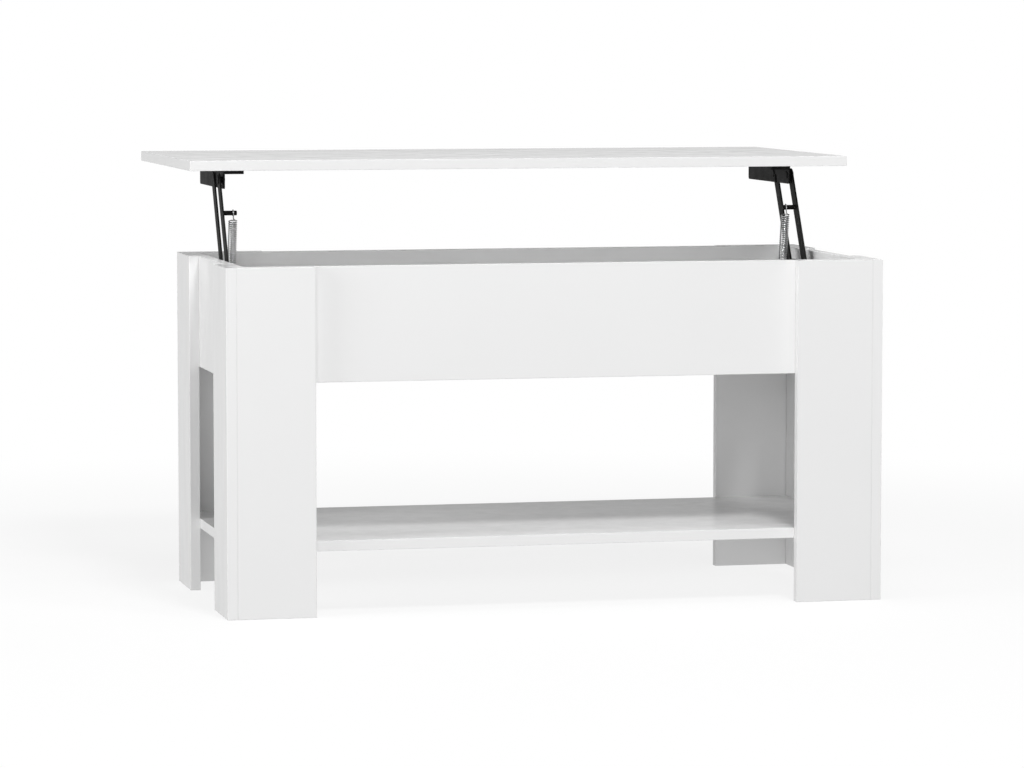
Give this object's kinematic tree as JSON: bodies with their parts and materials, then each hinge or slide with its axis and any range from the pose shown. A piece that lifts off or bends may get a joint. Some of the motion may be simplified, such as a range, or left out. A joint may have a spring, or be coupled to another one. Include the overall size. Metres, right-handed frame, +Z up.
{
  "type": "lift top coffee table",
  "caption": "Lift-top coffee table in gloss white board: the top swings up and towards the sitter on sprung steel arms, over a storage box, with a shelf between L-shaped legs.",
  "frame": {"origin": "middle of the base's footprint on the floor, which is not the middle of the whole box because the top stands out towards +Y when raised", "axes": "+X along the table's length, +Y towards the sitter, the way the top travels as it rises, +Z up"},
  "size_m": [1.01, 0.715, 0.6505],
  "materials": {
    "white_gloss_board": "high-gloss white lacquered board with matching edge band",
    "black_steel": "satin black powder coat on pressed steel",
    "zinc_plated_steel": "bright zinc plating",
    "spring_steel": "bright drawn spring wire",
    "beech_dowel": "plain fluted beech",
    "zinc_casting": "matt die-cast zinc"
  },
  "bodies": {
    "base": {"front_left_leg_board": "white_gloss_board", "front_right_leg_board": "white_gloss_board", "rear_left_leg_board": "white_gloss_board", "rear_right_leg_board": "white_gloss_board", "front_left_leg_return": "white_gloss_board", "front_right_leg_return": "white_gloss_board", "rear_left_leg_return": "white_gloss_board", "rear_right_leg_return": "white_gloss_board", "front_apron": "white_gloss_board", "rear_apron": "white_gloss_board", "left_apron": "white_gloss_board", "right_apron": "white_gloss_board", "storage_box_floor": "white_gloss_board", "lower_shelf": "white_gloss_board", "leg_dowels": "beech_dowel", "apron_dowels": "beech_dowel", "storage_box_floor_dowels": "beech_dowel", "shelf_dowels": "beech_dowel", "apron_cam_locks": "zinc_casting", "shelf_cam_locks": "zinc_casting", "apron_cam_bolts": "zinc_casting", "shelf_cam_bolts": "zinc_casting", "leg_screws": "zinc_plated_steel", "left_base_bracket": "black_steel", "left_base_bracket_screws": "zinc_plated_steel", "left_front_lower_rivet": "black_steel", "left_spring_anchor_pin": "black_steel", "right_base_bracket": "black_steel", "right_base_bracket_screws": "zinc_plated_steel", "right_front_lower_rivet": "black_steel", "right_spring_anchor_pin": "black_steel"},
    "top": {"table_top": "white_gloss_board", "left_top_bracket": "black_steel", "left_top_bracket_screws": "zinc_plated_steel", "left_front_upper_rivet": "black_steel", "left_rear_upper_rivet": "black_steel", "right_top_bracket": "black_steel", "right_top_bracket_screws": "zinc_plated_steel", "right_front_upper_rivet": "black_steel", "right_rear_upper_rivet": "black_steel"},
    "left_front_arm": {"left_front_arm": "black_steel", "left_spring_stud": "black_steel"},
    "left_rear_arm": {"left_rear_arm": "black_steel"},
    "left_spring": {"left_spring_coils": "spring_steel", "left_spring_lower_hook": "spring_steel"},
    "left_spring_end": {"left_spring_upper_hook": "spring_steel"},
    "right_front_arm": {"right_front_arm": "black_steel", "right_spring_stud": "black_steel"},
    "right_rear_arm": {"right_rear_arm": "black_steel"},
    "right_spring": {"right_spring_coils": "spring_steel", "right_spring_lower_hook": "spring_steel"},
    "right_spring_end": {"right_spring_upper_hook": "spring_steel"}
  },
  "joints": [
    {"name": "lift", "type": "hinge", "parent": "base", "child": "left_front_arm", "pos_m": [-0.4445, 0.01609, 0.47581], "axis": [1, 0, 0], "range_deg": [0, 114.9]},
    {"name": "top_level", "type": "hinge", "parent": "left_front_arm", "child": "top", "pos_m": [-0.4445, 0.0971, 0.619], "axis": [1, 0, 0], "range_deg": [-114.9, 0]},
    {"name": "right_front_arm_swing", "type": "hinge", "parent": "base", "child": "right_front_arm", "pos_m": [0.4445, 0.01609, 0.47581], "axis": [1, 0, 0], "range_deg": [0, 114.9]},
    {"name": "left_rear_arm_swing", "type": "hinge", "parent": "base", "child": "left_rear_arm", "pos_m": [-0.44155, 0.08609, 0.47581], "axis": [1, 0, 0], "range_deg": [0, 114.9]},
    {"name": "right_rear_arm_swing", "type": "hinge", "parent": "base", "child": "right_rear_arm", "pos_m": [0.44155, 0.08609, 0.47581], "axis": [1, 0, 0], "range_deg": [0, 114.9]},
    {"name": "left_spring_swing", "type": "hinge", "parent": "base", "child": "left_spring", "pos_m": [-0.4295, 0.08609, 0.47581], "axis": [1, 0, 0], "range_deg": [0, 77.26]},
    {"name": "left_spring_stretch", "type": "slide", "parent": "left_spring", "child": "left_spring_end", "axis": [0, -0.1728, 0.9849], "range_m": [0, 0.08259], "deforming": ["left_spring_coils", "left_spring_lower_hook", "left_spring_upper_hook"]},
    {"name": "right_spring_swing", "type": "hinge", "parent": "base", "child": "right_spring", "pos_m": [0.4295, 0.08609, 0.47581], "axis": [1, 0, 0], "range_deg": [0, 77.26]},
    {"name": "right_spring_stretch", "type": "slide", "parent": "right_spring", "child": "right_spring_end", "axis": [0, -0.1728, 0.9849], "range_m": [0, 0.08259], "deforming": ["right_spring_coils", "right_spring_lower_hook", "right_spring_upper_hook"]}
  ],
  "couplings": [
    {"joint": "top_level", "follows": "lift", "ratio": -1},
    {"joint": "right_front_arm_swing", "follows": "lift", "ratio": 1},
    {"joint": "left_rear_arm_swing", "follows": "lift", "ratio": 1},
    {"joint": "right_rear_arm_swing", "follows": "lift", "ratio": 1},
    {"joint": "left_spring_swing", "follows": "lift", "ratio": 0.67232},
    {"joint": "left_spring_stretch", "follows": "lift", "m_per_rad": 0.041132},
    {"joint": "right_spring_swing", "follows": "lift", "ratio": 0.67232},
    {"joint": "right_spring_stretch", "follows": "lift", "m_per_rad": 0.041132}
  ]
}
